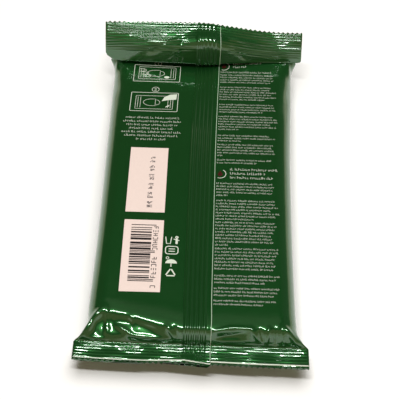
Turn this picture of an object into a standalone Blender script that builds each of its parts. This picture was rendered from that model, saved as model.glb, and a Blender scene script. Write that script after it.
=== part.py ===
"""A sealed flow-wrap pack of wet wipes, lying on its front with the seam side up.

One web of printed film is folded into a tube round the stack of wipes. Its two edges are joined in a
ridged fin that is folded flat down the middle of the back, and each end is pressed flat and crimped.
The wipes have slid towards the near end (-Y), so the empty tail at the far end stands up over a crease.
A resealable label is stuck to the front panel, which is underneath.

Frame: +X across the pack, +Y along it from the near end to the raised end, +Z up from the surface it
lies on. The origin is at the middle of the footprint.
"""

import math

import bmesh
import bpy
import numpy as np

MM = 0.001

# Film tube
HALF_GIRTH = 101.5 * MM  # width of the tube when it is pressed flat, as at both seals
SEAL_THICKNESS = 0.8 * MM  # two corrugated layers
NEAR_SEAL_DEPTH = 9.5 * MM  # the rest of it is tucked in under the bulge
FAR_SEAL_DEPTH = 16.5 * MM
CRIMP_PITCH = 1.5 * MM
CRIMP_HEIGHT = 0.45 * MM  # from the bottom of a groove to the top of a ridge
CRIMPED_MARGIN = 0.75 * MM  # the plain strip between the last ridge and the cut edge

# Fin seal on the back panel
FIN_FOLD_X = -3.8 * MM  # the folded side of the fin
FIN_FREE_X = 8.6 * MM  # the cut edge of the film
FIN_THICKNESS = 0.5 * MM
FIN_RIDGES = 5
FIN_RIDGE_PITCH = 2.0 * MM
FIN_RIDGE_HEIGHT = 0.35 * MM
FIN_SIDE = 0.05 * MM  # how far its almost upright sides slope

# Resealable label on the front panel
LABEL_WIDTH = 56.0 * MM
LABEL_LENGTH = 84.0 * MM
LABEL_CORNER = 14.0 * MM
LABEL_THICKNESS = 0.2 * MM
LABEL_GAP = 0.3 * MM
TAB_RADIUS = 11.0 * MM
TAB_REACH = 8.0 * MM  # how far the round tab stands out of the label's near end
PACK_BASE_MM = (LABEL_THICKNESS + LABEL_GAP) / MM  # the film lies on the label

# How finely the film is divided
SIDE_STEPS = 10  # from each side edge to the fin
ROW_SPACING = 4.0 * MM
MOST_ROWS_BETWEEN_STATIONS = 4


class Station:
    """One cross-section of the tube, in millimetres.

    reach  distance along the film from the near cut edge
    back   (y, z) of the middle of the back panel, which faces up
    side   (y, z) of the two side edges
    front  (y, z) of the middle of the front panel, which faces down
    corner radius of the rounded shoulders
    left, right  how far (y, z) the two ends of the section lie from its middle
    shift  how far the whole section lies to the right
    """

    def __init__(self, reach, back, side, front, corner, left=(0, 0), right=(0, 0), shift=0.0):
        self.values = [reach, *back, *side, *front, corner, *left, *right, shift]


STATIONS = [
    # near seal, level at half the height of the stack
    Station(0.0, (-98.0, 9.9), (-98.0, 9.5), (-98.0, 9.1), 0.4, (1.6, 0), (-0.8, 0)),
    Station(9.5, (-88.6, 9.7), (-88.6, 9.3), (-88.6, 8.9), 0.4, (0.6, 0), (-0.4, 0)),
    # the film opens out round the end of the wipes
    Station(13.0, (-87.4, 12.9), (-87.2, 9.3), (-87.4, 5.6), 3.2, (1.0, 0), (0.0, 0), 0.1),
    Station(17.5, (-85.5, 16.8), (-84.9, 9.3), (-85.0, 2.2), 6.4, (2.0, 0), (0.5, 0), 0.2),
    Station(22.0, (-81.0, 18.0), (-80.5, 9.2), (-80.5, PACK_BASE_MM), 8.4, (1.0, 0), (0, 0), 0.2),
    # the body
    Station(32.0, (-71.0, 18.5), (-71.0, 9.5), (-71.0, PACK_BASE_MM), 8.6),
    Station(73.0, (-30.0, 19.5), (-30.0, 10.0), (-30.0, PACK_BASE_MM), 8.4),
    Station(113.0, (10.0, 19.3), (10.0, 9.9), (10.0, PACK_BASE_MM), 8.4),
    Station(151.0, (48.0, 17.8), (48.0, 9.2), (48.0, PACK_BASE_MM), 8.2, (0, 0), (0, 0), 0.4),
    Station(173.0, (70.0, 16.6), (69.5, 8.8), (67.0, PACK_BASE_MM), 7.6, (0, 0), (0, 0), 0.8),
    # the empty tail: a crease behind the wipes, then the film folds forward and stands up
    Station(182.0, (79.2, 15.9), (77.5, 10.6), (76.5, 2.4), 5.6, (2.0, 0), (2.6, 0), 0.9),
    Station(185.0, (80.4, 17.0), (80.2, 13.2), (80.8, 7.6), 3.8, (2.6, -0.5), (3.4, -1.0), 1.0),
    Station(189.0, (76.4, 19.3), (79.0, 17.6), (82.6, 14.6), 2.0, (3.6, -1.6), (5.4, -2.9), 1.0),
    Station(194.5, (77.1, 24.6), (77.5, 24.6), (77.9, 24.6), 0.4, (4.0, -4.0), (5.0, -7.5), 1.0),
    # far seal, which curves back and droops towards the right
    Station(200.0, (79.3, 29.7), (79.6, 29.4), (79.9, 29.1), 0.4, (3.0, -4.0), (4.0, -8.0), 1.0),
    Station(206.0, (84.6, 32.8), (84.7, 32.4), (84.8, 32.0), 0.4, (1.0, -2.2), (1.4, -6.4), 1.0),
    Station(212.0, (90.6, 34.8), (90.6, 34.4), (90.6, 34.0), 0.4, (-0.8, 0.2), (-0.8, -4.4), 1.0),
]
FILM_LENGTH = STATIONS[-1].values[0] * MM


def along_the_film(reach):
    """The values of Station at each reach: a cubic through the stations. Its slope at a station is the
    mean of the chords on both sides, cut back where it would overshoot (Fritsch and Carlson's rule)."""
    keys = np.array([station.values for station in STATIONS]) * MM
    place, values = keys[:, 0], keys[:, 1:]
    chord = np.diff(values, axis=0) / np.diff(place)[:, None]
    before, after = np.vstack([chord[:1], chord]), np.vstack([chord, chord[-1:]])
    limit = np.where(before * after > 0, 3 * np.minimum(np.abs(before), np.abs(after)), 0.0)
    slope = np.clip((before + after) / 2, -limit, limit)
    index = np.clip(np.searchsorted(place, reach, side="right") - 1, 0, len(place) - 2)
    gap = (place[index + 1] - place[index])[:, None]
    u = (reach - place[index])[:, None] / gap
    return (
        (2 * u**3 - 3 * u**2 + 1) * values[index]
        + (u**3 - 2 * u**2 + u) * slope[index] * gap
        + (3 * u**2 - 2 * u**3) * values[index + 1]
        + (u**3 - u**2) * slope[index + 1] * gap
    )


def rounded_section(across, thickness, corner):
    """(x, rise) of a point of a rounded box whose half girth stays the same, so that a thinner section
    is a wider one. across is measured on the film from its middle line. rise is 0 at the side edge and
    1 on the flat panel."""
    half = thickness / 2
    corner = np.minimum(corner, half)
    from_edge = HALF_GIRTH / 2 - np.abs(across)
    upright = half - corner
    angle = np.clip((from_edge - upright) / corner, 0, math.pi / 2)
    rise = (np.minimum(from_edge, upright) + corner * np.sin(angle)) / half
    flat = np.maximum(from_edge - upright - corner * math.pi / 2, 0)
    half_width = HALF_GIRTH / 2 - half + corner * (2 - math.pi / 2)
    x = half_width - corner * (1 - np.cos(angle)) - flat
    return np.sign(across) * x, np.clip(rise, 0, 1)


def crimp_wave(reach):
    """Height of the crimped ridges, a zigzag that runs only along the two end seals. Each seal's ridges
    are counted from its cut edge."""
    from_edge = np.minimum(reach, FILM_LENGTH - reach)
    depth = np.where(reach < FILM_LENGTH / 2, NEAR_SEAL_DEPTH, FAR_SEAL_DEPTH)
    ridged = (from_edge > CRIMPED_MARGIN - 1e-6) & (from_edge < depth - CRIMPED_MARGIN)
    zigzag = 1 - np.abs(((from_edge - CRIMPED_MARGIN) / CRIMP_PITCH) % 1.0 * 2 - 1)
    return np.where(ridged, zigzag * CRIMP_HEIGHT, 0.0)


def fin_height(across):
    """How far the folded fin and its lengthwise ridges stand above the back panel."""
    inside = (across > FIN_FOLD_X) & (across < FIN_FREE_X)
    ridged = across < FIN_FOLD_X + FIN_RIDGES * FIN_RIDGE_PITCH
    wave = np.abs(((across - FIN_FOLD_X) / FIN_RIDGE_PITCH) % 1.0 * 2 - 1)
    ridges = np.where(ridged, (1 - wave) * FIN_RIDGE_HEIGHT, 0.0)
    return np.where(inside, FIN_THICKNESS + ridges, 0.0)


def across_samples():
    """Places across the flat film: even steps out to the side edges, closer over the rounded shoulders,
    and each ridge, groove and edge of the fin."""
    edge = HALF_GIRTH / 2
    outward = np.sin(np.linspace(0, math.pi / 2, SIDE_STEPS + 1))
    left = FIN_FOLD_X - (edge + FIN_FOLD_X) * outward
    right = FIN_FREE_X + (edge - FIN_FREE_X) * outward
    ridges = FIN_FOLD_X + np.arange(1, 2 * FIN_RIDGES + 1) * FIN_RIDGE_PITCH / 2
    fin = np.concatenate([[FIN_FOLD_X + FIN_SIDE], ridges, [FIN_FREE_X - FIN_SIDE]])
    return np.concatenate([left[::-1], fin, right])


def reach_samples():
    """Places along the film: each ridge and groove of the crimped seals, and even steps between them."""
    half_pitch = CRIMP_PITCH / 2
    near = np.arange(CRIMPED_MARGIN, NEAR_SEAL_DEPTH, half_pitch)
    far = FILM_LENGTH - np.arange(CRIMPED_MARGIN, FAR_SEAL_DEPTH, half_pitch)
    rows = [[0.0], near, far[::-1], [FILM_LENGTH]]
    stations = [station.values[0] * MM for station in STATIONS]
    for start, end in zip(stations, stations[1:]):
        if start >= NEAR_SEAL_DEPTH and end <= FILM_LENGTH - FAR_SEAL_DEPTH:
            steps = min(MOST_ROWS_BETWEEN_STATIONS, max(2, round((end - start) / ROW_SPACING)))
            rows.append(np.linspace(start, end, steps, endpoint=False))
    return np.unique(np.round(np.concatenate(rows), 7))


def lean_weights(across):
    """How much a point takes of its station's left and right lean: the square of its distance to the
    left of the middle, and a smooth step from just left of the middle to most of the way right."""
    outwards = 2 * across / HALF_GIRTH
    step = np.clip((outwards + 0.1) / 0.9, 0.0, 1.0)
    return np.minimum(outwards, 0) ** 2, step * step * (3 - 2 * step)


def film_sheet(across, reach, face):
    """Points of the back (face +1) or front (face -1) panel, as an array of rows along the film.
    A point lies between its side edge and the panel's middle line, as far over as the rounded section
    has risen there. Fin and crimp are added along the normal of the middle line."""
    row = along_the_film(reach)
    back, side, front = row[:, 0:2], row[:, 2:4], row[:, 4:6]
    corner, left, right, shift = row[:, 6], row[:, 7:9], row[:, 9:11], row[:, 11]
    middle = back if face > 0 else front
    thickness = np.maximum(np.linalg.norm(back - front, axis=1), SEAL_THICKNESS)
    x, rise = rounded_section(across[None, :], thickness[:, None], corner[:, None])
    x = x + shift[:, None]
    to_left, to_right = lean_weights(across)
    lean = left[:, None, :] * to_left[None, :, None] + right[:, None, :] * to_right[None, :, None]
    yz = side[:, None, :] + (middle - side)[:, None, :] * rise[..., None] + lean
    forward = np.gradient(middle, reach, axis=0)
    forward /= np.linalg.norm(forward, axis=1)[:, None]
    normal = np.stack([-forward[:, 1], forward[:, 0]], axis=1)
    lift = np.repeat(crimp_wave(reach)[:, None], len(across), axis=1)
    if face > 0:
        lift = lift + fin_height(across)[None, :]
    yz = yz + normal[:, None, :] * lift[..., None]
    return np.concatenate([x[..., None], yz], axis=2)


def add_film_pack(collection):
    """The wrapped pack as one closed solid: a loft of the back and front panels, which share their side
    edges, closed by the two cut edges."""
    across, reach = across_samples(), reach_samples()
    back = film_sheet(across, reach, +1)
    front = film_sheet(across, reach, -1)[:, 1:-1][:, ::-1]
    rings = np.concatenate([back, front], axis=1)
    rows, count = rings.shape[:2]
    mesh = bpy.data.meshes.new("film_pack")
    model = bmesh.new()
    verts = [[model.verts.new(point) for point in ring] for ring in rings]
    for i in range(rows - 1):
        for j in range(count):
            k = (j + 1) % count
            model.faces.new((verts[i][j], verts[i][k], verts[i + 1][k], verts[i + 1][j]))
    last = len(across) - 1
    for ring in (verts[0], verts[-1]):
        for j in range(last):
            upper = [ring[j], ring[j + 1]]
            lower = [ring[-j - 1] if j + 1 < last else ring[last], ring[-j] if j else ring[0]]
            corners = list(dict.fromkeys(upper + lower))
            model.faces.new(corners)
    bmesh.ops.recalc_face_normals(model, faces=model.faces)
    model.to_mesh(mesh)
    model.free()
    pack = bpy.data.objects.new("film_pack", mesh)
    collection.objects.link(pack)
    return pack


def arc(centre_x, centre_y, radius, start, end, steps=8):
    """Points of a round corner, from the start angle to the end angle in degrees."""
    angles = np.radians(np.linspace(start, end, steps + 1))
    return [(centre_x + radius * math.cos(a), centre_y + radius * math.sin(a)) for a in angles]


def label_outline():
    """A rounded rectangle with a round pull tab in the middle of its near end, anticlockwise."""
    side = LABEL_WIDTH / 2 - LABEL_CORNER
    end = LABEL_LENGTH / 2 - LABEL_CORNER
    tab_y = -LABEL_LENGTH / 2 + TAB_RADIUS - TAB_REACH
    dip = math.degrees(math.asin((TAB_RADIUS - TAB_REACH) / TAB_RADIUS))
    points = arc(side, end, LABEL_CORNER, 0, 90)
    points += arc(-side, end, LABEL_CORNER, 90, 180)
    points += arc(-side, -end, LABEL_CORNER, 180, 270)
    points += arc(0, tab_y, TAB_RADIUS, 180 + dip, 360 - dip, 16)
    points += arc(side, -end, LABEL_CORNER, 270, 360)
    return points


def add_reseal_label(collection):
    """The resealable label: a flat outline, extruded to its thickness, with its lower face at Z = 0."""
    curve = bpy.data.curves.new("reseal_label", "CURVE")
    curve.dimensions = "2D"
    curve.fill_mode = "BOTH"
    curve.extrude = LABEL_THICKNESS / 2
    outline = label_outline()
    spline = curve.splines.new("POLY")
    spline.points.add(len(outline) - 1)
    for point, (x, y) in zip(spline.points, outline):
        point.co = (x, y, 0.0, 1.0)
    spline.use_cyclic_u = True
    label = bpy.data.objects.new("reseal_label", curve)
    label.location.z = LABEL_THICKNESS / 2
    collection.objects.link(label)
    return label


def material(name, colour, roughness, metallic=0.0):
    made = bpy.data.materials.new(name)
    made.use_nodes = True
    shader = made.node_tree.nodes["Principled BSDF"]
    shader.inputs["Base Color"].default_value = (*colour, 1.0)
    shader.inputs["Roughness"].default_value = roughness
    shader.inputs["Metallic"].default_value = metallic
    return made


def main():
    for obj in list(bpy.data.objects):
        bpy.data.objects.remove(obj, do_unlink=True)
    parts = bpy.data.collections.new("wet_wipes_pack")
    bpy.context.scene.collection.children.link(parts)
    pack = add_film_pack(parts)
    pack.data.materials.append(material("green_film", (0.010, 0.065, 0.018), 0.25))
    label = add_reseal_label(parts)
    label.data.materials.append(material("label_film", (0.80, 0.76, 0.66), 0.35))


main()
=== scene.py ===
"""A sealed flow-wrap pack of wet wipes, lying on its front with the seam side up.

The film, its crimped seals, its folded fin and its print are all read from one surface: film_point gives
the place of any point of the flat film, so everything printed on the film follows its folds.
Lengths are in metres. +X is across the pack, +Y along it towards the raised end, +Z is up.
"""

import math

import bpy
import numpy as np
from mathutils import Matrix, Vector


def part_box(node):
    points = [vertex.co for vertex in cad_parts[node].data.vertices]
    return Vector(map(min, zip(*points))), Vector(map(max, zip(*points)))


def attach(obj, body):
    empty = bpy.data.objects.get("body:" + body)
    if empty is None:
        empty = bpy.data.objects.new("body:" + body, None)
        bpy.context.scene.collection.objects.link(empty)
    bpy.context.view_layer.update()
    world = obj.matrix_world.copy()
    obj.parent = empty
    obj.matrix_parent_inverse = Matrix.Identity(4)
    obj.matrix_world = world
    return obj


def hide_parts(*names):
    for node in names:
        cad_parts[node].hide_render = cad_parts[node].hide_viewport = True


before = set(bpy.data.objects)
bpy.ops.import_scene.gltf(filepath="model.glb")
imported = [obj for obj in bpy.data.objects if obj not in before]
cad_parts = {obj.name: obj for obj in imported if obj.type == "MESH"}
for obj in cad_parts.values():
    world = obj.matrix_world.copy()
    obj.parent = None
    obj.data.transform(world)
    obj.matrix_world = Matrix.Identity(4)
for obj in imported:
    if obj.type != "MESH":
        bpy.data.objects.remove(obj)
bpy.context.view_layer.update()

bl_info = {
    "name": "Wet Wipes Pack",
    "version": (1, 0, 0),
    "blender": (4, 5, 0),
    "location": "3D View > Sidebar > Wipes Pack",
    "description": "Builds a flow-wrap pack of wet wipes with its seals, fin, label and plain print",
    "category": "Object",
}

MM = 0.001
BODY = "root"

# The film tube, as in the frame
HALF_GIRTH = 101.5 * MM
EDGE = HALF_GIRTH / 2  # from the middle line of a panel to its side edge, on the film
SEAL_THICKNESS = 0.8 * MM
NEAR_SEAL = 9.5 * MM
FAR_SEAL = 16.5 * MM
PACK_BASE_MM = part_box("film_pack")[0].z / MM

# The fin seal on the back panel
FIN_FOLD = -3.8 * MM
FIN_FREE = 8.6 * MM
FIN_THICKNESS = 0.45 * MM
FIN_RIDGES = 5
FIN_WALL = 0.06 * MM

# The printed layer: how far it and its underside stand off the film
INK_TOP = 0.06 * MM
INK_DEPTH = 0.04 * MM
INK_STEP = 2.0 * MM  # longest stretch of print without a vertex, so that it follows the film
BODY_TO_REACH = 103.0 * MM  # a point of the flat back panel at y lies this much further along the film


class Station:
    """One cross-section of the tube, in millimetres.

    reach  distance along the film from the near cut edge
    back   (y, z) of the middle of the back panel, which faces up
    side   (y, z) of the two side edges
    front  (y, z) of the middle of the front panel, which faces down
    corner radius of the rounded shoulders
    left, right  how far (y, z) the two ends of the section lie from its middle
    shift  how far the whole section lies to the right
    """

    def __init__(self, reach, back, side, front, corner, left=(0, 0), right=(0, 0), shift=0.0):
        self.values = [reach, *back, *side, *front, corner, *left, *right, shift]


STATIONS = [
    # near seal, level at half the height of the stack
    Station(0.0, (-98.0, 9.9), (-98.0, 9.5), (-98.0, 9.1), 0.4, (1.6, 0), (-0.8, 0)),
    Station(9.5, (-88.6, 9.7), (-88.6, 9.3), (-88.6, 8.9), 0.4, (0.6, 0), (-0.4, 0)),
    # the film opens out round the end of the wipes
    Station(13.0, (-87.4, 12.9), (-87.2, 9.3), (-87.4, 5.6), 3.2, (1.0, 0), (0.0, 0), 0.1),
    Station(17.5, (-85.5, 16.8), (-84.9, 9.3), (-85.0, 2.2), 6.4, (2.0, 0), (0.5, 0), 0.2),
    Station(22.0, (-81.0, 18.0), (-80.5, 9.2), (-80.5, PACK_BASE_MM), 8.4, (1.0, 0), (0, 0), 0.2),
    # the body
    Station(32.0, (-71.0, 18.5), (-71.0, 9.5), (-71.0, PACK_BASE_MM), 8.6),
    Station(73.0, (-30.0, 19.5), (-30.0, 10.0), (-30.0, PACK_BASE_MM), 8.4),
    Station(113.0, (10.0, 19.3), (10.0, 9.9), (10.0, PACK_BASE_MM), 8.4),
    Station(151.0, (48.0, 17.8), (48.0, 9.2), (48.0, PACK_BASE_MM), 8.2, (0, 0), (0, 0), 0.4),
    Station(173.0, (70.0, 16.6), (69.5, 8.8), (67.0, PACK_BASE_MM), 7.6, (0, 0), (0, 0), 0.8),
    # the empty tail: a crease behind the wipes, then the film folds forward and stands up
    Station(182.0, (79.2, 15.9), (77.5, 10.6), (76.5, 2.4), 5.6, (2.0, 0), (2.6, 0), 0.9),
    Station(185.0, (80.4, 17.0), (80.2, 13.2), (80.8, 7.6), 3.8, (2.6, -0.5), (3.4, -1.0), 1.0),
    Station(189.0, (76.4, 19.3), (79.0, 17.6), (82.6, 14.6), 2.0, (3.6, -1.6), (5.4, -2.9), 1.0),
    Station(194.5, (77.1, 24.6), (77.5, 24.6), (77.9, 24.6), 0.4, (4.0, -4.0), (5.0, -7.5), 1.0),
    # far seal, which curves back and droops towards the right
    Station(200.0, (79.3, 29.7), (79.6, 29.4), (79.9, 29.1), 0.4, (3.0, -4.0), (4.0, -8.0), 1.0),
    Station(206.0, (84.6, 32.8), (84.7, 32.4), (84.8, 32.0), 0.4, (1.0, -2.2), (1.4, -6.4), 1.0),
    Station(212.0, (90.6, 34.8), (90.6, 34.4), (90.6, 34.0), 0.4, (-0.8, 0.2), (-0.8, -4.4), 1.0),
]
FILM_LENGTH = STATIONS[-1].values[0] * MM


# ---------------------------------------------------------------------------------------------------
# The surface of the film
# ---------------------------------------------------------------------------------------------------


def smooth_step(value, start, end):
    """0 before start and 1 after end, with a smooth cubic between them: 3t squared minus 2t cubed."""
    t = np.clip((value - start) / (end - start), 0.0, 1.0)
    return t * t * (3 - 2 * t)


def hump(value, centre, width):
    """A bell curve of height 1: e to the minus square of the distance in widths."""
    return np.exp(-(((value - centre) / width) ** 2))


def ripple(across, reach, wavelength, seed, stretch=1.0):
    """Soft random waves between about -1 and 1: the mean of eight sines, each with its own direction,
    phase and a wavelength near the given one. stretch lengthens them along the film."""
    rng = np.random.default_rng(seed)
    total = np.zeros(np.broadcast(across, reach).shape)
    for _ in range(8):
        angle, phase = rng.uniform(0, 2 * math.pi, 2)
        length = wavelength * rng.uniform(0.7, 1.6)
        run = across * math.cos(angle) + reach / stretch * math.sin(angle)
        total += np.sin(2 * math.pi * run / length + phase)
    return total / 4


def at_stations(reach):
    """The values of Station at each reach: a cubic through the stations. Its slope at a station is the
    mean of the chords on both sides, cut back where it would overshoot (Fritsch and Carlson's rule)."""
    keys = np.array([station.values for station in STATIONS]) * MM
    place, values = keys[:, 0], keys[:, 1:]
    chord = np.diff(values, axis=0) / np.diff(place)[:, None]
    before, after = np.vstack([chord[:1], chord]), np.vstack([chord, chord[-1:]])
    limit = np.where(before * after > 0, 3 * np.minimum(np.abs(before), np.abs(after)), 0.0)
    slope = np.clip((before + after) / 2, -limit, limit)
    index = np.clip(np.searchsorted(place, reach, side="right") - 1, 0, len(place) - 2)
    gap = (place[index + 1] - place[index])[..., None]
    u = (reach - place[index])[..., None] / gap
    return (
        (2 * u**3 - 3 * u**2 + 1) * values[index]
        + (u**3 - 2 * u**2 + u) * slope[index] * gap
        + (3 * u**2 - 2 * u**3) * values[index + 1]
        + (u**3 - u**2) * slope[index + 1] * gap
    )


def rounded_section(across, thickness, corner):
    """(x, rise) of a point of a rounded box whose half girth stays the same, so that a thinner section
    is a wider one. rise is 0 at the side edge and 1 on the flat panel."""
    half = thickness / 2
    corner = np.minimum(corner, half)
    from_edge = EDGE - np.abs(across)
    upright = half - corner
    angle = np.clip((from_edge - upright) / corner, 0, math.pi / 2)
    rise = (np.minimum(from_edge, upright) + corner * np.sin(angle)) / half
    flat = np.maximum(from_edge - upright - corner * math.pi / 2, 0)
    half_width = EDGE - half + corner * (2 - math.pi / 2)
    x = half_width - corner * (1 - np.cos(angle)) - flat
    return np.sign(across) * x, np.clip(rise, 0, 1)


# How far the upper edge of the near face is drawn into the body, at places across the film, both in mm
NEAR_DRAW = [(-50.7, 0), (-46, 2.4), (-38, 7), (-36, 7), (-22, 3.8), (-11, 2.2), (-4.5, 0.4), (8, 0), (40, 0), (46, 1)]


def near_draw(across, reach):
    """The draw of the near face: straight lines between its places, faded in from the seal and out over
    the body."""
    places, draws = np.array(NEAR_DRAW).T * MM
    draw = np.interp(across, places, draws)
    return draw * smooth_step(reach, NEAR_SEAL, 24 * MM) * (1 - smooth_step(reach, 27 * MM, 50 * MM))


def film_base(across, reach, face):
    """The smooth film: a point lies between its side edge and the panel's middle line, as far over as
    the rounded section has risen there."""
    draw = near_draw(across, reach) if face > 0 else 0 * across
    row = at_stations(reach - draw)
    back, side, front = row[..., 0:2], row[..., 2:4], row[..., 4:6]
    corner, left, right, shift = row[..., 6], row[..., 7:9], row[..., 9:11], row[..., 11]
    middle = back if face > 0 else front
    thickness = np.maximum(np.linalg.norm(back - front, axis=-1), SEAL_THICKNESS)
    x, rise = rounded_section(across, thickness, corner)
    outwards = 2 * across / HALF_GIRTH
    to_left = (np.minimum(outwards, 0) ** 2)[..., None] * left
    to_right = smooth_step(outwards, -0.1, 0.8)[..., None] * right
    yz = side + (middle - side) * rise[..., None] + to_left + to_right
    return np.stack([x + shift, yz[..., 0] + draw, yz[..., 1]], axis=-1)


def crimp_relief(across, reach):
    """The ridges of the end seals: a rounded zigzag along the film. Its height wanders along each ridge,
    and it dies out where the film bulges over the inner part of a seal."""
    sizes = bpy.context.scene.pack_sizes
    from_edge = np.minimum(reach, FILM_LENGTH - reach)
    far = reach > FILM_LENGTH / 2
    depth = np.where(far, FAR_SEAL, NEAR_SEAL)
    inside = smooth_step(from_edge, 0.3 * MM, 0.9 * MM) * (1 - smooth_step(from_edge, depth - 1 * MM, depth))
    wander = 0.22 * MM * ripple(across, reach, 26 * MM, 11)
    wave = np.sin(2 * math.pi * (from_edge + wander) / sizes.crimp_pitch)
    sharp = wave * (1.25 - 0.25 * wave * wave)
    height = 0.10 * MM * (1 + 0.6 * ripple(across, reach, 11 * MM, 12, 0.5))
    pulled = hump(across, 2.5 * MM, 12 * MM) * smooth_step(from_edge, 4.0 * MM, 6.0 * MM)
    return sharp * height * inside * (1 - np.where(far, 0.95, 0.0) * pulled)


def fin_relief(across, reach):
    """The folded fin: a raised strip with lengthwise ridges, rounded like a sine, and a plain margin
    whose free edge lifts a little here and there."""
    sizes = bpy.context.scene.pack_sizes
    rise = smooth_step(across, FIN_FOLD - FIN_WALL, FIN_FOLD + FIN_WALL)
    fall = 1 - smooth_step(across, FIN_FREE - FIN_WALL, FIN_FREE + FIN_WALL)
    start = FIN_FOLD + 0.2 * MM
    ridged = (across > start) & (across < start + FIN_RIDGES * sizes.fin_ridge_pitch)
    wave = 0.5 - 0.5 * np.cos(2 * math.pi * (across - start) / sizes.fin_ridge_pitch)
    ridges = np.where(ridged, wave**0.8, 0.0) * 0.55 * MM
    margin = smooth_step(across, start + FIN_RIDGES * sizes.fin_ridge_pitch, FIN_FREE)
    lifted = margin * 0.25 * MM * (1 + ripple(across * 0, reach, 45 * MM, 21))
    pressed = smooth_step(np.minimum(reach, FILM_LENGTH - reach), 9 * MM, 13 * MM)
    ridges = ridges * (0.35 + 0.65 * pressed)
    return rise * fall * (FIN_THICKNESS * (0.55 + 0.45 * pressed) + ridges + lifted * pressed)


class Crease:
    """A fold or dent in the film. a and b are the ends of its line as (across, reach) in millimetres,
    height is how far it stands out (negative for a groove) and width is its half width."""

    def __init__(self, a, b, height, width):
        self.a, self.b = np.array(a) * MM, np.array(b) * MM
        self.height, self.width = height * MM, width * MM

    def relief(self, across, reach):
        """A bell curve of the distance from the line, which fades out over the last third at each end."""
        run = self.b - self.a
        length = np.hypot(*run)
        along = ((across - self.a[0]) * run[0] + (reach - self.a[1]) * run[1]) / length
        off = ((across - self.a[0]) * run[1] - (reach - self.a[1]) * run[0]) / length
        fade = smooth_step(along, -0.15 * length, 0.3 * length)
        fade = fade * (1 - smooth_step(along, 0.7 * length, 1.15 * length))
        return self.height * hump(off, 0, self.width) * fade


BACK_CREASES = [
    # the left gusset: a raised ridge from its corner out to the seal, and another straight down
    Crease((-38, 28), (-47, 13), 0.7, 1.6),
    Crease((-37, 28), (-36, 13), 0.8, 1.3),
    Crease((-41.5, 22), (-41, 12), -0.9, 2.2),
    Crease((-46, 12), (-36, 11.5), 0.5, 0.9),
    # the near face, left of the fin: a long smooth dent above a rolled lip
    Crease((-31, 22), (-14, 16), -0.9, 2.2),
    Crease((-33, 19), (-25, 14), 0.7, 1.2),
    Crease((-28, 14), (-10, 12.6), 0.7, 1.2),
    Crease((-27, 24), (-24, 18), 0.4, 1.0),
    Crease((-11, 20), (-6, 12), 0.7, 1.0),
    Crease((-8, 20), (-5.5, 11), -0.5, 0.9),
    # the near face, right of the fin
    Crease((9, 17), (17, 19), 0.5, 1.0),
    Crease((16, 19), (27, 18.6), 0.5, 1.0),
    Crease((11, 14), (24, 16.5), -0.8, 1.6),
    Crease((10, 12.5), (24, 13), 0.5, 0.9),
    Crease((25, 19), (31, 11), 0.7, 0.9),
    Crease((29, 19), (30, 11), -0.7, 0.8),
    Crease((33, 20), (32, 11), 0.7, 0.8),
    Crease((35.5, 20), (36, 11), -0.7, 0.8),
    Crease((38, 21), (40, 11), 0.6, 0.8),
    Crease((39, 21), (47, 10), 0.9, 1.2),
    Crease((12, 11), (40, 11), 0.3, 0.5),
    # the tail: pinches beside the fin and towards the ends of the seal
    Crease((-14, 203), (-30, 195), -0.7, 2.2),
    Crease((-12, 203), (-19, 201.5), 0.35, 0.7),
    Crease((-10, 202), (-16, 193), 0.5, 1.3),
    Crease((13, 202), (22, 194), -0.6, 1.8),
    Crease((13, 205), (30, 204), 0.4, 0.9),
    Crease((-40, 190), (-46, 178), 0.6, 1.8),
    Crease((41, 190), (46, 176), 0.6, 1.8),
    Crease((-46, 172), (-40, 150), -0.4, 3.0),
    Crease((46, 170), (41, 146), -0.4, 3.0),
]


def shoulder_relief(across, reach):
    """The stiff fin makes the tail bulge in front of the middle of the far seal."""
    bulge = 1.9 * MM * hump(across, 2.0 * MM, 8 * MM) * hump(reach, 203.0 * MM, 3.2 * MM)
    wide = 0.7 * MM * hump(across, 0, 26 * MM) * hump(reach, 199 * MM, 4 * MM)
    return bulge + wide


def back_relief(across, reach):
    """How far the back panel stands out of the smooth film."""
    body = smooth_step(reach, 12 * MM, 30 * MM) * (1 - smooth_step(reach, 193 * MM, 199 * MM))
    waves = 0.10 * MM * ripple(across, reach, 38 * MM, 31, 2.2) * body
    folds = sum(crease.relief(across, reach) for crease in BACK_CREASES)
    shoulder = shoulder_relief(across, reach)
    return waves + folds + shoulder + crimp_relief(across, reach) + fin_relief(across, reach)


def front_relief(across, reach):
    """The front panel lies flat under the label. It is drawn in a little towards its ends, and its
    crimped ridges are the other side of those on the back."""
    ends = 1 - smooth_step(reach, 14 * MM, 44 * MM) * (1 - smooth_step(reach, 160 * MM, 184 * MM))
    waves = -0.35 * MM * (1 + ripple(across, reach, 24 * MM, 41, 1.6)) * ends
    seal = smooth_step(np.minimum(reach, FILM_LENGTH - reach), 8 * MM, 16 * MM)
    return waves * seal - crimp_relief(across, reach)


def film_point(across, reach, face=1, lift=0.0):
    """The film's surface: the smooth film, moved along its own normal by its relief and by lift. The
    normal is the cross product of the film's slopes across and along."""
    across, reach = np.broadcast_arrays(np.asarray(across, float), np.asarray(reach, float))
    step = 0.2 * MM
    slope_across = film_base(across + step, reach, face) - film_base(across - step, reach, face)
    slope_along = film_base(across, reach + step, face) - film_base(across, reach - step, face)
    normal = np.cross(slope_across, slope_along) * face
    normal /= np.maximum(np.linalg.norm(normal, axis=-1, keepdims=True), 1e-12)
    relief = back_relief(across, reach) if face > 0 else front_relief(across, reach)
    # the relief goes to nothing at the side edges, where the two panels meet
    relief = relief * smooth_step(EDGE - np.abs(across), 0, 1.2 * MM)
    return film_base(across, reach, face) + normal * (relief + lift)[..., None]


# ---------------------------------------------------------------------------------------------------
# Meshes
# ---------------------------------------------------------------------------------------------------


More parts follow.
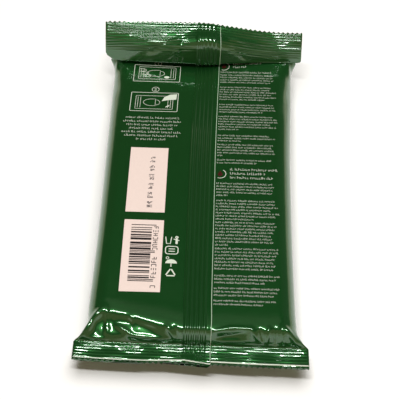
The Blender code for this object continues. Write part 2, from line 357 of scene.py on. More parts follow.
def make_piece(name, points, faces, material, smooth=True):
    """A mesh object in the row frame, riding on the pack's body."""
    mesh = bpy.data.meshes.new(name)
    mesh.from_pydata(points, [], faces)
    mesh.validate()
    if smooth:
        mesh.shade_smooth()
        mesh.set_sharp_from_angle(angle=math.radians(55))
    mesh.materials.append(material)
    piece = bpy.data.objects.new(name, mesh)
    bpy.context.scene.collection.objects.link(piece)
    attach(piece, BODY)
    return piece


def spaced(start, end, spacing):
    """Even steps from start up to but not including end."""
    return np.linspace(start, end, max(1, round((end - start) / spacing)), endpoint=False)


def panel_columns():
    """Places across the film, a quarter of a tooth apart and in step with the teeth, and both edges."""
    step = bpy.context.scene.pack_sizes.tooth_pitch / 4
    first, last = math.ceil((-EDGE - FIN_FOLD) / step + 0.3), math.floor((EDGE - FIN_FOLD) / step - 0.3)
    return np.concatenate([[-EDGE], FIN_FOLD + step * np.arange(first, last + 1), [EDGE]])


def back_columns():
    """The panel's columns, with closer ones on the fin and at its walls."""
    columns = panel_columns()
    left, right = FIN_FOLD - 2 * FIN_WALL, FIN_FREE + 2 * FIN_WALL
    fin = spaced(FIN_FOLD + FIN_WALL, FIN_FREE - 2 * FIN_WALL, 0.25 * MM)
    walls = [FIN_FREE - FIN_WALL, FIN_FREE + FIN_WALL]
    return np.concatenate([columns[columns < left], [FIN_FOLD - FIN_WALL], fin, walls, columns[columns > right]])


def film_rows():
    """Places along the film: fine over the seals, the near face and the tail, wide over the body."""
    near = spaced(0, NEAR_SEAL, 0.23 * MM)
    face = spaced(NEAR_SEAL, 32 * MM, 0.5 * MM)
    body = spaced(32 * MM, 172 * MM, 2.8 * MM)
    tail = spaced(172 * MM, FILM_LENGTH - FAR_SEAL, 0.6 * MM)
    far = np.append(spaced(FILM_LENGTH - FAR_SEAL, FILM_LENGTH, 0.23 * MM), FILM_LENGTH)
    return np.concatenate([near, face, body, tail, far])


def cut_edge(across, reach):
    """Moves the last millimetre and a half of the film to its zigzag cut edge, and lets the near cut
    wander as a web that was not quite square to the knife."""
    sizes = bpy.context.scene.pack_sizes
    tooth = np.abs((across - FIN_FOLD) / sizes.tooth_pitch % 1.0 * 2 - 1) * sizes.tooth_depth
    from_edge = np.minimum(reach, FILM_LENGTH - reach)
    pull = 1 - smooth_step(from_edge, 0, 1.2 * MM)
    near = reach < FILM_LENGTH / 2
    bow = np.interp(across / MM, [-50, -34, -20, -4, 1, 8.5, 8.7, 22, 50], NEAR_CUT) * MM
    seal = 1 - smooth_step(reach, 1 * MM, NEAR_SEAL)
    return reach + np.where(near, tooth * pull + bow * seal, -tooth * pull)


NEAR_CUT = [-0.8, -0.6, -0.4, 0.3, -0.3, -1.2, 0.1, 0.1, 0.0]


def build_film(material):
    """The film tube: a grid over the back and one over the front, which share the side edges and are
    closed along the two cut edges."""
    columns, rows = back_columns(), film_rows()
    back = film_point(*on_grid(columns, rows), face=1)
    below = panel_columns()[-2:0:-1]
    front = film_point(*on_grid(below, rows), face=-1)
    ring = np.concatenate([back, front], axis=1)
    count, width = ring.shape[:2]
    index = np.arange(count * width).reshape(count, width)
    following = np.roll(index, -1, axis=1)
    sides = np.stack([index[:-1], following[:-1], following[1:], index[1:]], axis=-1).reshape(-1, 4)
    first = [[int(i) for i in index[0][::-1]]]
    last = [[int(i) for i in index[-1]]]
    faces = sides.tolist() + first + last
    film = make_piece("film_wrap", ring.reshape(-1, 3), faces, material)
    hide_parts("film_pack")
    return film


def on_grid(columns, rows):
    """Every column at every row, with the rows moved to the cut edges."""
    across, reach = np.meshgrid(columns, rows)
    return across, cut_edge(across, reach)


class Print:
    """Collects flat printed shapes, given in metres on the back panel, and lays them on the film."""

    def __init__(self):
        self.points, self.faces = [], []
        self.count = 0

    def add(self, points, faces):
        self.points.append(np.asarray(points, float))
        self.faces += [[i + self.count for i in face] for face in faces]
        self.count += len(points)

    def box(self, x0, y0, x1, y1):
        """A rectangle, as a grid with steps short enough to follow the film."""
        nx = max(1, math.ceil(abs(x1 - x0) / INK_STEP))
        ny = max(1, math.ceil(abs(y1 - y0) / INK_STEP))
        x, y = np.meshgrid(np.linspace(x0, x1, nx + 1), np.linspace(y0, y1, ny + 1))
        index = np.arange(x.size).reshape(x.shape)
        corners = [index[:-1, :-1], index[:-1, 1:], index[1:, 1:], index[1:, :-1]]
        self.add(np.stack([x.ravel(), y.ravel()], 1), np.stack(corners, -1).reshape(-1, 4).tolist())

    def stroke(self, path, width, closed=False):
        """A line of even width along a path: each point is moved both ways along the mean normal of its
        two neighbours. Long stretches are divided, so that they follow the film."""
        path = np.asarray(path, float)
        ends = np.vstack([path, path[:1]]) if closed else path
        pieces = [np.linspace(a, b, 1 + math.ceil(np.linalg.norm(b - a) / INK_STEP)) for a, b in zip(ends, ends[1:])]
        path = np.vstack([piece[:-1] for piece in pieces] + ([] if closed else [path[-1:]]))
        if closed:
            ahead, behind = np.roll(path, -1, 0), np.roll(path, 1, 0)
        else:
            ahead, behind = np.vstack([path[1:], path[-1:]]), np.vstack([path[:1], path[:-1]])
        run = ahead - behind
        run /= np.linalg.norm(run, axis=1, keepdims=True)
        normal = np.stack([-run[:, 1], run[:, 0]], 1) * width / 2
        count = len(path)
        last = count if closed else count - 1
        faces = [[i, (i + 1) % count, (i + 1) % count + count, i + count] for i in range(last)]
        self.add(np.vstack([path - normal, path + normal]), faces)

    def ring(self, x, y, radius, width, start=0, end=360):
        """A circle, or an arc of one from the start angle to the end angle in degrees."""
        closed = end - start == 360
        angle = np.radians(np.linspace(start, end, 24 if not closed else 28, endpoint=not closed))
        path = np.stack([x + radius * np.cos(angle), y + radius * np.sin(angle)], 1)
        self.stroke(path, width, closed)

    def shape(self, outline):
        """A filled convex outline, anticlockwise."""
        self.add(outline, [list(range(len(outline)))])

    def lay(self, name, material, layer=1):
        """Puts every shape on the film, a few hundredths of a millimetre proud, with a thin edge. Print
        over print takes a higher layer."""
        flat = np.vstack(self.points)
        points = film_point(flat[:, 0], flat[:, 1] + BODY_TO_REACH, 1, INK_TOP * layer)
        piece = make_piece(name, points, self.faces, material, smooth=False)
        wall = piece.modifiers.new("ink", "SOLIDIFY")
        wall.thickness = INK_DEPTH
        wall.offset = -1
        return piece


def rounded_box(x0, y0, x1, y1, radius, steps=4):
    """The outline of a box with round corners, anticlockwise."""
    centres = [(x1 - radius, y0 + radius, -90), (x1 - radius, y1 - radius, 0)]
    centres += [(x0 + radius, y1 - radius, 90), (x0 + radius, y0 + radius, 180)]
    points = []
    for x, y, start in centres:
        for angle in np.radians(np.linspace(start, start + 90, steps + 1)):
            points.append((x + radius * math.cos(angle), y + radius * math.sin(angle)))
    return np.array(points)


# ---------------------------------------------------------------------------------------------------
# Materials
# ---------------------------------------------------------------------------------------------------


def linear(colour):
    """An sRGB hex colour as linear red, green, blue and alpha."""
    parts = [int(colour[i : i + 2], 16) / 255 for i in (1, 3, 5)]
    return [c / 12.92 if c <= 0.04045 else ((c + 0.055) / 1.055) ** 2.4 for c in parts] + [1.0]


def add_node(tree, kind, inputs=None, **settings):
    """Adds one node. inputs maps a socket's name or number to a value or to another node's socket."""
    node = tree.nodes.new(kind)
    for key, value in settings.items():
        setattr(node, key, value)
    for key, value in (inputs or {}).items():
        if isinstance(value, bpy.types.NodeSocket):
            tree.links.new(value, node.inputs[key])
        else:
            node.inputs[key].default_value = value
    return node


def new_material(name):
    """An empty node material and its Principled shader."""
    material = bpy.data.materials.new(name)
    material.use_nodes = True
    tree = material.node_tree
    tree.nodes.clear()
    shader = add_node(tree, "ShaderNodeBsdfPrincipled")
    add_node(tree, "ShaderNodeOutputMaterial", {"Surface": shader.outputs[0]})
    return material, tree, shader


def printed_laminate():
    """Metallised laminate film, reverse printed green under a clear polyester layer: the ink is seen
    against bright metal, so it is deep where it reflects a dim room and vivid where it reflects a lamp,
    with a sharp white gloss from the clear layer on top."""
    finish = bpy.context.scene.pack_finish
    material, tree, shader = new_material("printed_laminate_film")
    place = add_node(tree, "ShaderNodeTexCoord").outputs["Object"]
    # the ink's weight drifts over a few centimetres
    drift = add_node(tree, "ShaderNodeTexNoise", {"Vector": place, "Scale": 1 / (35 * MM), "Detail": 2.0})
    tone = add_node(tree, "ShaderNodeMix", {0: drift.outputs[0]}, data_type="RGBA")
    tone.inputs[6].default_value = linear("#1D5223")
    tone.inputs[7].default_value = linear("#205A28")
    tree.links.new(tone.outputs[2], shader.inputs["Base Color"])
    # film is never quite flat: soft puckers about 6 mm wide, and a fine orange peel of 0.7 mm
    pucker = add_node(tree, "ShaderNodeTexNoise", {"Vector": place, "Scale": 1 / (6 * MM), "Detail": 2.0})
    peel = add_node(tree, "ShaderNodeTexNoise", {"Vector": place, "Scale": 1 / (0.7 * MM), "Detail": 1.0})
    soft = add_node(tree, "ShaderNodeBump", {"Height": pucker.outputs[0], "Distance": 0.06 * MM})
    soft.inputs["Strength"].default_value = 1.0
    fine = add_node(tree, "ShaderNodeBump", {"Height": peel.outputs[0], "Distance": 0.003 * MM})
    tree.links.new(soft.outputs[0], fine.inputs["Normal"])
    tree.links.new(fine.outputs[0], shader.inputs["Normal"])
    tree.links.new(fine.outputs[0], shader.inputs["Coat Normal"])
    shader.inputs["Metallic"].default_value = finish.metallic
    shader.inputs["Roughness"].default_value = finish.roughness
    shader.inputs["Coat Weight"].default_value = 1.0
    shader.inputs["Coat Roughness"].default_value = 0.05
    shader.inputs["Coat IOR"].default_value = 1.75
    shader.inputs["Specular IOR Level"].default_value = 0.1
    return material


def printing_ink(name, colour, roughness=0.4):
    """Gravure ink: flat and even, a little less glossy than the film it lies on."""
    material, tree, shader = new_material(name)
    place = add_node(tree, "ShaderNodeTexCoord").outputs["Object"]
    # the ink's cover is a few per cent uneven over about a millimetre
    cover = add_node(tree, "ShaderNodeTexNoise", {"Vector": place, "Scale": 1 / (1.2 * MM), "Detail": 2.0})
    tone = add_node(tree, "ShaderNodeMix", {0: cover.outputs[0]}, data_type="RGBA")
    full = linear(colour)
    tone.inputs[6].default_value = [c * 0.94 for c in full[:3]] + [1.0]
    tone.inputs[7].default_value = full
    tree.links.new(tone.outputs[2], shader.inputs["Base Color"])
    shader.inputs["Roughness"].default_value = roughness
    shader.inputs["Coat Weight"].default_value = 0.5
    shader.inputs["Coat Roughness"].default_value = 0.15
    return material


def white_ink():
    """The warm white of an ink film over metal, shared by everything printed white."""
    return bpy.data.materials.get("white_gravure_ink") or printing_ink("white_gravure_ink", "#E2CEC4")


def fine_white_ink():
    """The same white in lines too thin to hide the green under them, so that they look a greyish green."""
    name = "white_gravure_ink_fine_lines"
    return bpy.data.materials.get(name) or printing_ink(name, "#CED6C4")


def pale_edge_with_painted_highlight():
    """The cut edge of the laminate, where its clear layer shows pale with no ink under it. Its colour is lighter
    still: a painted highlight of the edge catching the light.
    """
    material, _, shader = new_material("bare_edge_and_painted_highlight")
    # pale bare film together with a painted highlight of the edge catching the light
    shader.inputs["Base Color"].default_value = linear("#9DB59A")
    shader.inputs["Roughness"].default_value = 0.35
    return material


def label_film():
    """Satin polypropylene label film: pale, with a green band inside its outline. The band is read from
    the distance to a rounded box, as a colour field."""
    material, tree, shader = new_material("satin_label_film")
    place = add_node(tree, "ShaderNodeTexCoord").outputs["Object"]
    low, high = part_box("reseal_label")
    half_x = (high.x - low.x) / 2
    # distance outside a box whose corners are rounded: length of max(abs(p) minus half size, 0)
    size = add_node(tree, "ShaderNodeVectorMath", {0: place}, operation="ABSOLUTE")
    inner = (half_x - 14 * MM, high.y - 14 * MM, 1.0)
    out = add_node(tree, "ShaderNodeVectorMath", {0: size.outputs[0], 1: inner}, operation="SUBTRACT")
    out = add_node(tree, "ShaderNodeVectorMath", {0: out.outputs[0], 1: (0, 0, 0)}, operation="MAXIMUM")
    far = add_node(tree, "ShaderNodeVectorMath", {0: out.outputs[0]}, operation="LENGTH").outputs["Value"]
    band = add_node(tree, "ShaderNodeMath", {0: far, 1: 10.6 * MM, 2: 0.6 * MM}, operation="COMPARE")
    tone = add_node(tree, "ShaderNodeMix", {0: band.outputs[0]}, data_type="RGBA")
    tone.inputs[6].default_value = linear("#E9E4D8")
    tone.inputs[7].default_value = linear("#1D5A2C")
    tree.links.new(tone.outputs[2], shader.inputs["Base Color"])
    shader.inputs["Roughness"].default_value = 0.38
    return material


# ---------------------------------------------------------------------------------------------------
# Settings
# ---------------------------------------------------------------------------------------------------


class PackSizes(bpy.types.PropertyGroup):
    """Sizes of the film's details."""

    crimp_pitch: bpy.props.FloatProperty(
        name="Crimp pitch",
        description="Distance from ridge to ridge in the end seals",
        default=1.5 * MM,
        unit="LENGTH",
        precision=5,
    )
    tooth_pitch: bpy.props.FloatProperty(
        name="Tooth pitch",
        description="Distance from tooth to tooth along the zigzag cut",
        default=2.4 * MM,
        unit="LENGTH",
        precision=5,
    )
    tooth_depth: bpy.props.FloatProperty(
        name="Tooth depth",
        description="Depth of the zigzag cut",
        default=0.9 * MM,
        unit="LENGTH",
        precision=5,
    )
    fin_ridge_pitch: bpy.props.FloatProperty(
        name="Fin ridge pitch",
        description="Distance from ridge to ridge in the fin seal",
        default=2.0 * MM,
        unit="LENGTH",
        precision=5,
    )


class PackFinish(bpy.types.PropertyGroup):
    """The look of the film and its print."""

    metallic: bpy.props.FloatProperty(
        name="Metallised",
        description="How much of the film's colour comes from the metal layer under the ink",
        default=0.6,
        subtype="FACTOR",
    )
    roughness: bpy.props.FloatProperty(
        name="Roughness",
        description="Roughness of the metal layer, under the clear gloss",
        default=0.28,
        subtype="FACTOR",
    )


class StudioSettings(bpy.types.PropertyGroup):
    """The camera and the light."""

    elevation: bpy.props.FloatProperty(
        name="Camera elevation",
        description="Angle of the camera above the floor",
        default=math.radians(50),
        subtype="ANGLE",
    )
    azimuth: bpy.props.FloatProperty(
        name="Camera azimuth",
        description="Angle of the camera to the right of the pack's length",
        default=math.radians(0.8),
        subtype="ANGLE",
    )
    roll: bpy.props.FloatProperty(
        name="Camera roll",
        description="Anticlockwise turn of the camera about its view",
        default=math.radians(1.0),
        subtype="ANGLE",
    )
    distance: bpy.props.FloatProperty(
        name="Camera distance",
        description="Distance from the camera to the point it looks at",
        default=534.5 * MM,
        unit="LENGTH",
    )
    focal_length: bpy.props.FloatProperty(
        name="Focal length",
        description="Focal length on a 36 mm wide sensor",
        default=103.5,
        unit="CAMERA",
    )


# ---------------------------------------------------------------------------------------------------
# Operators
# ---------------------------------------------------------------------------------------------------


class PACK_OT_film(bpy.types.Operator):
    """Builds the film tube with its two end seals and its fin"""

    bl_idname = "pack.film"
    bl_label = "Build Film"

    def execute(self, context):
        build_film(printed_laminate())
        return {"FINISHED"}


# Layout of the back panel, in millimetres across and along
BOX_LEFT, BOX_RIGHT = -32.2, -14.2
DATE_BOX = (BOX_LEFT, -23.4, BOX_RIGHT, 17.0)
CODE_BOX = (BOX_LEFT, -67.4, BOX_RIGHT, -28.0)
LEFT_TEXT_MIDDLE = -23.0
LEFT_TEXT = [(37.9, 27.0), (35.3, 29.0), (32.8, 25.5), (30.3, 22.5), (27.8, 29.5), (25.3, 26.5), (22.8, 14.5)]
RIGHT_TEXT_LEFT, RIGHT_TEXT_RIGHT = 9.3, 38.6
# each paragraph: the place of its first line, its number of lines, and how much of the last is filled
PARAGRAPHS = [
    (73.2, 5, 0.9),
    (62.0, 6, 0.8),
    (49.0, 4, 0.75),
    (40.3, 6, 0.35),
    (26.8, 3, 0.4),
    (20.5, 5, 0.1),
    (10.3, 2, 0.65),
    (-4.7, 5, 0.2),
    (-15.2, 7, 0.6),
    (-28.2, 8, 0.2),
    (-43.1, 7, 0.9),
    (-57.8, 3, 0.8),
    (-64.4, 3, 0.9),
    (-70.9, 2, 0.75),
]
LINE_PITCH = 1.84
HEADINGS = [(78.9, 15.6, 31.0), (76.6, 15.6, 22.5), (4.2, 15.6, 38.6), (1.6, 15.6, 33.0), (-1.0, 15.6, 36.0)]


def text_line(ink, rng, x0, x1, y, height):
    """A line of small print as plain marks: words of random length, each a run of short bars and
    blocks that stand for letters."""
    x = x0
    while x < x1 - height:
        for _ in range(rng.integers(2, 10)):
            if x > x1 - 0.5 * height:
                break
            wide = rng.choice([0.2, 0.5, 0.6]) * height
            tall = rng.choice([0.75, 0.8, 1.15]) * height
            stem = 0.14 * height
            ink.box(*(np.array([x, y, x + stem, y + tall]) * MM))
            if wide > stem:
                level = y + rng.choice([0.0, 0.55]) * height
                ink.box(*(np.array([x + stem, level, x + wide, level + stem]) * MM))
            x += wide + 0.24 * height
        x += 0.5 * height


class PACK_OT_small_print(bpy.types.Operator):
    """Prints the columns of small text as plain marks, with no words in them"""

    bl_idname = "pack.small_print"
    bl_label = "Print Small Text"

    def execute(self, context):
        ink = Print()
        rng = np.random.default_rng(5)
        for y, width in LEFT_TEXT:
            text_line(ink, rng, LEFT_TEXT_MIDDLE - width / 2, LEFT_TEXT_MIDDLE + width / 2, y - 0.5, 1.15)
        for top, lines, last in PARAGRAPHS:
            for line in range(lines):
                fill = last if line == lines - 1 else rng.uniform(0.88, 1.0)
                right = RIGHT_TEXT_LEFT + (RIGHT_TEXT_RIGHT - RIGHT_TEXT_LEFT) * fill
                text_line(ink, rng, RIGHT_TEXT_LEFT, right, top - line * LINE_PITCH - 0.4, 0.85)
        for y, left, right in HEADINGS:
            text_line(ink, rng, left, right, y - 0.5, 1.25)
        ink.lay("print_small_text", fine_white_ink())
        return {"FINISHED"}


def bars(ink, rng, x0, x1, y0, y1):
    """Bars of one to four modules along the pack, with random gaps and no meaning. Two thin bars at
    each end and in the middle are longer."""
    module = (y1 - y0) / 80
    y = y0
    while y < y1 - 2 * module:
        guard = y - y0 < 3 * module or abs(y - (y0 + y1) / 2) < 2.5 * module or y1 - y < 4 * module
        wide = 1 if guard else rng.choice([1, 1, 2, 2, 3])
        right = x1 + (1.9 if guard else 0.0)
        ink.box(*(np.array([x0, y, right, y + wide * module]) * MM))
        y += (wide + (1 if guard else rng.choice([1, 1, 2, 3]))) * module


def number_row(ink, rng, x, y0, y1, pitch, height):
    """A row of small marks along the pack that stands for digits: each is two or three short strokes of
    a box, and says nothing."""
    for y in np.arange(y0, y1, pitch):
        wide = 0.55 * pitch
        strokes = [(0, 0, 1, 0), (0, 0, 0, 1), (0, 1, 1, 1), (1, 0, 1, 1), (0.5, 0, 0.5, 1)]
        for i in rng.choice(len(strokes), 3, replace=False):
            u0, v0, u1, v1 = strokes[i]
            path = [(x + u0 * height, y + v0 * wide), (x + u1 * height, y + v1 * wide)]
            ink.stroke(np.array(path) * MM, 0.16 * height * MM)


class PACK_OT_white_boxes(bpy.types.Operator):
    """Prints the two white boxes, with plain bars and marks in them"""

    bl_idname = "pack.white_boxes"
    bl_label = "Print White Boxes"

    def execute(self, context):
        boxes = Print()
        for box in (DATE_BOX, CODE_BOX):
            boxes.box(*(np.array(box) * MM))
        boxes.lay("print_white_boxes", white_ink())
        rng = np.random.default_rng(8)
        black = Print()
        bars(black, rng, -28.8, -19.4, -62.0, -30.4)
        number_row(black, rng, -18.6, -60.0, -48.0, 2.0, 2.0)
        number_row(black, rng, -18.6, -45.0, -31.5, 2.0, 2.0)
        number_row(black, rng, -18.6, -65.3, -64.0, 2.0, 2.0)
        black.lay("print_bars", printing_ink("black_gravure_ink", "#231E1D"), layer=2)
        stamp = Print()
        stamped_date(stamp, rng)
        stamp.lay("print_date_marks", printing_ink("grey_inkjet", "#575150", 0.7), layer=2)
        return {"FINISHED"}


def stamped_date(ink, rng):
    """A dotted stamp along the date box: groups of small marks, four dots by three each, some left out."""
    dot, pitch = 0.42, 0.5
    y = -20.5
    for group in (2, 2, 2, 2, 2, 2):
        for _ in range(group):
            for row in range(5):
                for column in range(3):
                    if rng.random() < 0.65:
                        x = -22.6 + row * pitch
                        ink.box(*(np.array([x, y + column * pitch, x + dot, y + column * pitch + dot]) * MM))
            y += 2.1
        y += 1.4


def arc_path(x, y, radius_x, radius_y, start, end, steps=12):
    """Points on an ellipse from the start angle to the end angle in degrees, in millimetres."""
    angle = np.radians(np.linspace(start, end, steps + 1))
    return np.stack([x + radius_x * np.cos(angle), y + radius_y * np.sin(angle)], 1)


def small_pack(ink, x0, y0, x1, y1, line):
    """A line drawing of a pack: its outline, two lines at each end, and a round-ended label."""
    width = 0.2 * MM
    ink.stroke(rounded_box(x0, y0, x1, y1, 0.4) * MM, width, closed=True)
    for x in (x0 + 1.1, x0 + 2.4, x1 - 1.1, x1 - 2.4):
        ink.stroke(np.array([(x, y0 + 0.9), (x, y1 - 0.9)]) * MM, width)
    middle, high = (x0 + x1) / 2, (y1 - y0) / 2
    left = arc_path(middle - 1.2, (y0 + y1) / 2, 4.2, high * 0.52, 90, 270)
    label = np.vstack([left, [(middle + line, left[-1][1]), (middle + line, left[0][1])]])
    ink.stroke(label * MM, width, closed=True)
    ink.stroke(arc_path(middle + line, (y0 + y1) / 2, 2.2, high * 0.4, -80, 80) * MM, width)


class PACK_OT_pictograms(bpy.types.Operator):
    """Prints two plain numbered pictograms on how to open a pack, and four small round-the-bin signs"""

    bl_idname = "pack.pictograms"
    bl_label = "Print Pictograms"

    def execute(self, context):
        ink = Print()
        opening_pictograms(ink)
        for y in (77.3, 1.3):
            ink.ring(10.9 * MM, y * MM, 2.7 * MM, 0.3 * MM, -115, 60)
        care_signs(ink)
        ink.lay("print_pictograms", fine_white_ink())
        drop = Print()
        for y in (77.3, 1.3):
            drop.shape(water_drop(10.9, y - 0.4, 1.15) * MM)
        drop.lay("print_drops", printing_ink("dull_red_ink", "#3E120E"))
        return {"FINISHED"}


def water_drop(x, y, size):
    """The outline of a drop, anticlockwise: a circle whose top is drawn up to a point."""
    round_part = arc_path(x, y, size, size, 160, 380, 14)
    return np.vstack([round_part, [(x, y + 2.1 * size)]])


def opening_pictograms(ink):
    """The first frame shows a finger at the end of the label, the second a wipe being drawn out."""
    for y, number in ((78.4, 1), (58.9, 2)):
        ink.ring(-23.2 * MM, y * MM, 1.75 * MM, 0.24 * MM)
        if number == 1:
            digit = [(-23.7, y + 0.5), (-23.1, y + 0.9), (-23.1, y - 0.9)]
        else:
            digit = [(-23.8, y + 0.5), (-23.2, y + 0.9), (-22.7, y + 0.4), (-23.8, y - 0.8), (-22.6, y - 0.8)]
        ink.stroke(np.array(digit) * MM, 0.28 * MM)
    for y0, y1 in ((64.9, 76.7), (42.7, 56.4)):
        ink.stroke(rounded_box(-35.1, y0, -11.5, y1, 0.5) * MM, 0.28 * MM, closed=True)
    small_pack(ink, -32.6, 66.8, -13.8, 75.4, 1.4)
    for k in range(3):
        finger = arc_path(-31.5 + 1.3 * k, 73.2 - 2.0 * k, 2.6, 0.85, -110, 110, 10)
        ink.stroke(finger * MM, 0.24 * MM)
    ink.shape(arc_path(-18.2, 68.4, 1.4, 0.9, 0, 345, 12) * MM)
    small_pack(ink, -32.6, 44.4, -14.0, 54.0, 0.6)
    wipe = [(-19.6, 50.2), (-16.4, 51.2), (-12.4, 51.6), (-12.1, 55.6), (-15.6, 55.2), (-18.4, 53.2)]
    ink.shape(np.array(wipe) * MM)
    ink.shape(np.array([(-17.6, 45.6), (-15.8, 46.5), (-15.4, 47.6), (-17.2, 46.6)]) * MM)


def care_signs(ink):
    """Four plain signs in a column: a bin, a jar, a small parasol and a triangle of bars."""
    width = 0.42 * MM
    x = -10.0
    ink.stroke(np.array([(x - 3, -37.4), (x - 2.5, -41.2), (x - 0.8, -41.2), (x - 0.3, -37.4)]) * MM, width)
    ink.ring((x + 2) * MM, -37.6 * MM, 0.5 * MM, 0.5 * MM)
    ink.stroke(np.array([(x + 2, -38.4), (x + 2, -41.3)]) * MM, 1.0 * MM)
    ink.stroke(np.array([(x + 0.6, -38.6), (x + 3.2, -39.4)]) * MM, width)
    ink.stroke(rounded_box(x - 2.8, -46.9, x + 2.8, -42.7, 1.2) * MM, width, closed=True)
    for level in (-44.1, -45.4):
        ink.stroke(np.array([(x - 1.4, level), (x + 1.4, level)]) * MM, width)
    ink.shape(arc_path(x, -52.0, 2.6, 2.2, 0, 180, 10) * MM)
    ink.stroke(np.array([(x, -52.0), (x, -53.8)]) * MM, width)
    ink.ring((x - 1.7) * MM, -49.1 * MM, 0.6 * MM, 0.3 * MM)
    corners = arc_path(x, -57.3, 2.6, 2.6, 90, 450, 3)[:3]
    for k in range(3):
        a, b = corners[k], corners[(k + 1) % 3]
        ink.stroke((np.array([a + (b - a) * 0.1, a + (b - a) * 0.9])) * MM, 0.6 * MM)


class PACK_OT_edge_lines(bpy.types.Operator):
    """Prints the white line along the near cut edge, and shows the pale cut edge of the fin, painted lighter as a
    highlight where the edge catches the light
    """

    bl_idname = "pack.edge_lines"
    bl_label = "Print Edge Lines"

    def execute(self, context):
        film_strip("print_edge_stripe", fine_white_ink(), across=None, reach=(1.25 * MM, 1.75 * MM))
        cut = (FIN_FREE - 0.4 * MM, FIN_FREE - 0.08 * MM)
        # the fin's free edge: pale bare laminate, with a painted highlight where the edge catches the light
        film_strip("fin_cut_edge_painted_highlight", pale_edge_with_painted_highlight(), across=cut, reach=None)
        return {"FINISHED"}


def film_strip(name, material, across, reach):
    """A narrow printed strip that runs the whole width or the whole length of the film, on the same rows
    and columns as the film."""
    if across is None:
        columns = back_columns()
        columns = columns[np.abs(columns) < EDGE - 0.5 * MM]
        grid_across, grid_reach = np.meshgrid(columns, np.linspace(*reach, 3))
        grid_reach = cut_edge(grid_across, grid_reach)
        # the line is printed straight: the teeth are cut into the plain film beyond it
    else:
        rows = film_rows()
        rows = rows[(rows > 1.3 * MM) & (rows < FILM_LENGTH - 1.3 * MM)]
        grid_across, grid_reach = np.meshgrid(np.linspace(*across, 3), rows)
    points = film_point(grid_across, grid_reach, 1, INK_TOP)
    index = np.arange(grid_across.size).reshape(grid_across.shape)
    faces = np.stack([index[:-1, :-1], index[:-1, 1:], index[1:, 1:], index[1:, :-1]], -1).reshape(-1, 4)
    piece = make_piece(name, points.reshape(-1, 3), faces.tolist(), material)
    wall = piece.modifiers.new("ink", "SOLIDIFY")
    wall.thickness = INK_DEPTH
    wall.offset = -1
    return piece


class PACK_OT_label(bpy.types.Operator):
    """Finishes the resealable label on the front panel"""

    bl_idname = "pack.label"
    bl_label = "Finish Label"

    def execute(self, context):
        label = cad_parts["reseal_label"]
        material = label_film()
        label.data.materials.clear()
        label.data.materials.append(material)
        return {"FINISHED"}


class PACK_OT_stage(bpy.types.Operator):
    """Builds the floor, the lights and the camera"""

    bl_idname = "pack.stage"
    bl_label = "Build Stage"

    def execute(self, context):
        build_floor()
        build_lights()
        build_camera(context.scene.studio)
        return {"FINISHED"}


def build_floor():
    """A plain pale floor, wide enough to fill every reflection below the horizon."""
    half = 1.5
    corners = [(-half, -half, 0), (half, -half, 0), (half, half, 0), (-half, half, 0)]
    mesh = bpy.data.meshes.new("floor")
    mesh.from_pydata(corners, [], [(0, 1, 2, 3)])
    material, _, shader = new_material("matt_white_card")
    shader.inputs["Base Color"].default_value = linear("#F2F1EF")
    shader.inputs["Roughness"].default_value = 0.9
    shader.inputs["Specular IOR Level"].default_value = 0.1
    mesh.materials.append(material)
    floor = bpy.data.objects.new("floor", mesh)
    bpy.context.scene.collection.objects.link(floor)


def add_softbox(name, place, aim, width, height, power, mirrored=True):
    """A rectangular soft light that faces a point. One that isn't mirrored lights the pack but makes no
    highlight on it."""
    light = bpy.data.lights.new(name, "AREA")
    light.shape = "RECTANGLE"
    light.size = width
    light.size_y = height
    light.energy = power
    lamp = bpy.data.objects.new(name, light)
    lamp.location = place
    lamp.rotation_euler = (Vector(aim) - Vector(place)).to_track_quat("-Z", "Y").to_euler()
    lamp.visible_glossy = mirrored
    bpy.context.scene.collection.objects.link(lamp)


def build_lights():
    """A narrow bright softbox overhead, which makes the streaks on the folds, and a wide soft ceiling."""
    add_softbox("softbox_streak", (-0.05, -0.22, 0.9), (0, 0, 0), 0.45, 0.05, 4)
    add_softbox("softbox_ceiling", (0.1, 0.3, 1.1), (0, 0, 0), 1.0, 1.0, 11.5, mirrored=False)
    build_room()


def build_room():
    """What the film reflects: a bright horizon, the sweep of the table, below a dim room that is brown to
    the left, paler to the right and dark behind the camera. Each is chosen by the direction's X, Y, Z."""
    world = bpy.data.worlds.new("dim_room")
    world.use_nodes = True
    tree = world.node_tree
    way = add_node(tree, "ShaderNodeTexCoord").outputs["Generated"]
    axes = add_node(tree, "ShaderNodeSeparateXYZ", {0: way}).outputs
    tone = linear("#2E2820")
    room = [
        (0, 0.1, 0.7, "#4A4A46"),
        (1, 0.0, -0.4, "#A08C70"),
        (2, 0.66, 0.80, "#24211D"),
        (2, 0.84, 0.93, "#6A675E"),
        (2, 0.28, 0.08, "#F4E8D4"),
    ]
    for axis, start, end, colour in room:
        part = add_node(tree, "ShaderNodeMapRange", {0: axes[axis], 1: start, 2: end})
        part.interpolation_type = "SMOOTHSTEP"
        mix = add_node(tree, "ShaderNodeMix", {0: part.outputs[0]}, data_type="RGBA")
        if isinstance(tone, bpy.types.NodeSocket):
            tree.links.new(tone, mix.inputs[6])
        else:
            mix.inputs[6].default_value = tone
        mix.inputs[7].default_value = linear(colour)
        tone = mix.outputs[2]
    tree.links.new(tone, tree.nodes["Background"].inputs["Color"])
    bpy.context.scene.world = world


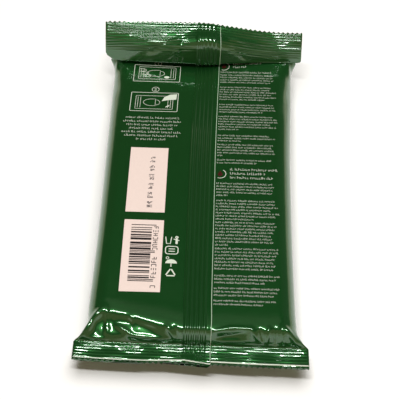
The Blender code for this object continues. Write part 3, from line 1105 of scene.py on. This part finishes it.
def build_camera(studio):
    """A long lens that looks down at the pack from its near end, turned a degree about its view."""
    target = Vector((1.8, -13.9, 17.9)) * MM
    level, up = math.cos(studio.elevation), math.sin(studio.elevation)
    back = Vector((math.sin(studio.azimuth) * level, -math.cos(studio.azimuth) * level, up))
    data = bpy.data.cameras.new("camera")
    data.sensor_width = 36
    data.lens = studio.focal_length
    camera = bpy.data.objects.new("camera", data)
    camera.location = target + back * studio.distance
    turn = (-back).to_track_quat("-Z", "Y") @ Matrix.Rotation(studio.roll, 4, "Z").to_quaternion()
    camera.rotation_euler = turn.to_euler()
    bpy.context.scene.collection.objects.link(camera)
    bpy.context.scene.camera = camera
    bpy.context.scene.view_settings.view_transform = "Standard"


class PACK_PT_panel(bpy.types.Panel):
    """Lists the pack's settings and the steps that build it"""

    bl_idname = "PACK_PT_panel"
    bl_label = "Wet Wipes Pack"
    bl_space_type = "VIEW_3D"
    bl_region_type = "UI"
    bl_category = "Wipes Pack"

    def draw(self, context):
        scene = context.scene
        for group in (scene.pack_sizes, scene.pack_finish, scene.studio):
            for name in group.__annotations__:
                self.layout.prop(group, name)
        for operator in OPERATORS:
            self.layout.operator(operator.bl_idname)


GROUPS = {"pack_sizes": PackSizes, "pack_finish": PackFinish, "studio": StudioSettings}
OPERATORS = [
    PACK_OT_film,
    PACK_OT_label,
    PACK_OT_white_boxes,
    PACK_OT_small_print,
    PACK_OT_pictograms,
    PACK_OT_edge_lines,
    PACK_OT_stage,
]


def register():
    for cls in [*GROUPS.values(), *OPERATORS, PACK_PT_panel]:
        bpy.utils.register_class(cls)
    for name, group in GROUPS.items():
        setattr(bpy.types.Scene, name, bpy.props.PointerProperty(type=group))


def unregister():
    for name in GROUPS:
        delattr(bpy.types.Scene, name)
    for cls in reversed([*GROUPS.values(), *OPERATORS, PACK_PT_panel]):
        bpy.utils.unregister_class(cls)


def main():
    register()
    bpy.ops.pack.film()
    bpy.ops.pack.label()
    bpy.ops.pack.white_boxes()
    bpy.ops.pack.small_print()
    bpy.ops.pack.pictograms()
    bpy.ops.pack.edge_lines()
    bpy.ops.pack.stage()


if __name__ == "__main__":
    main()
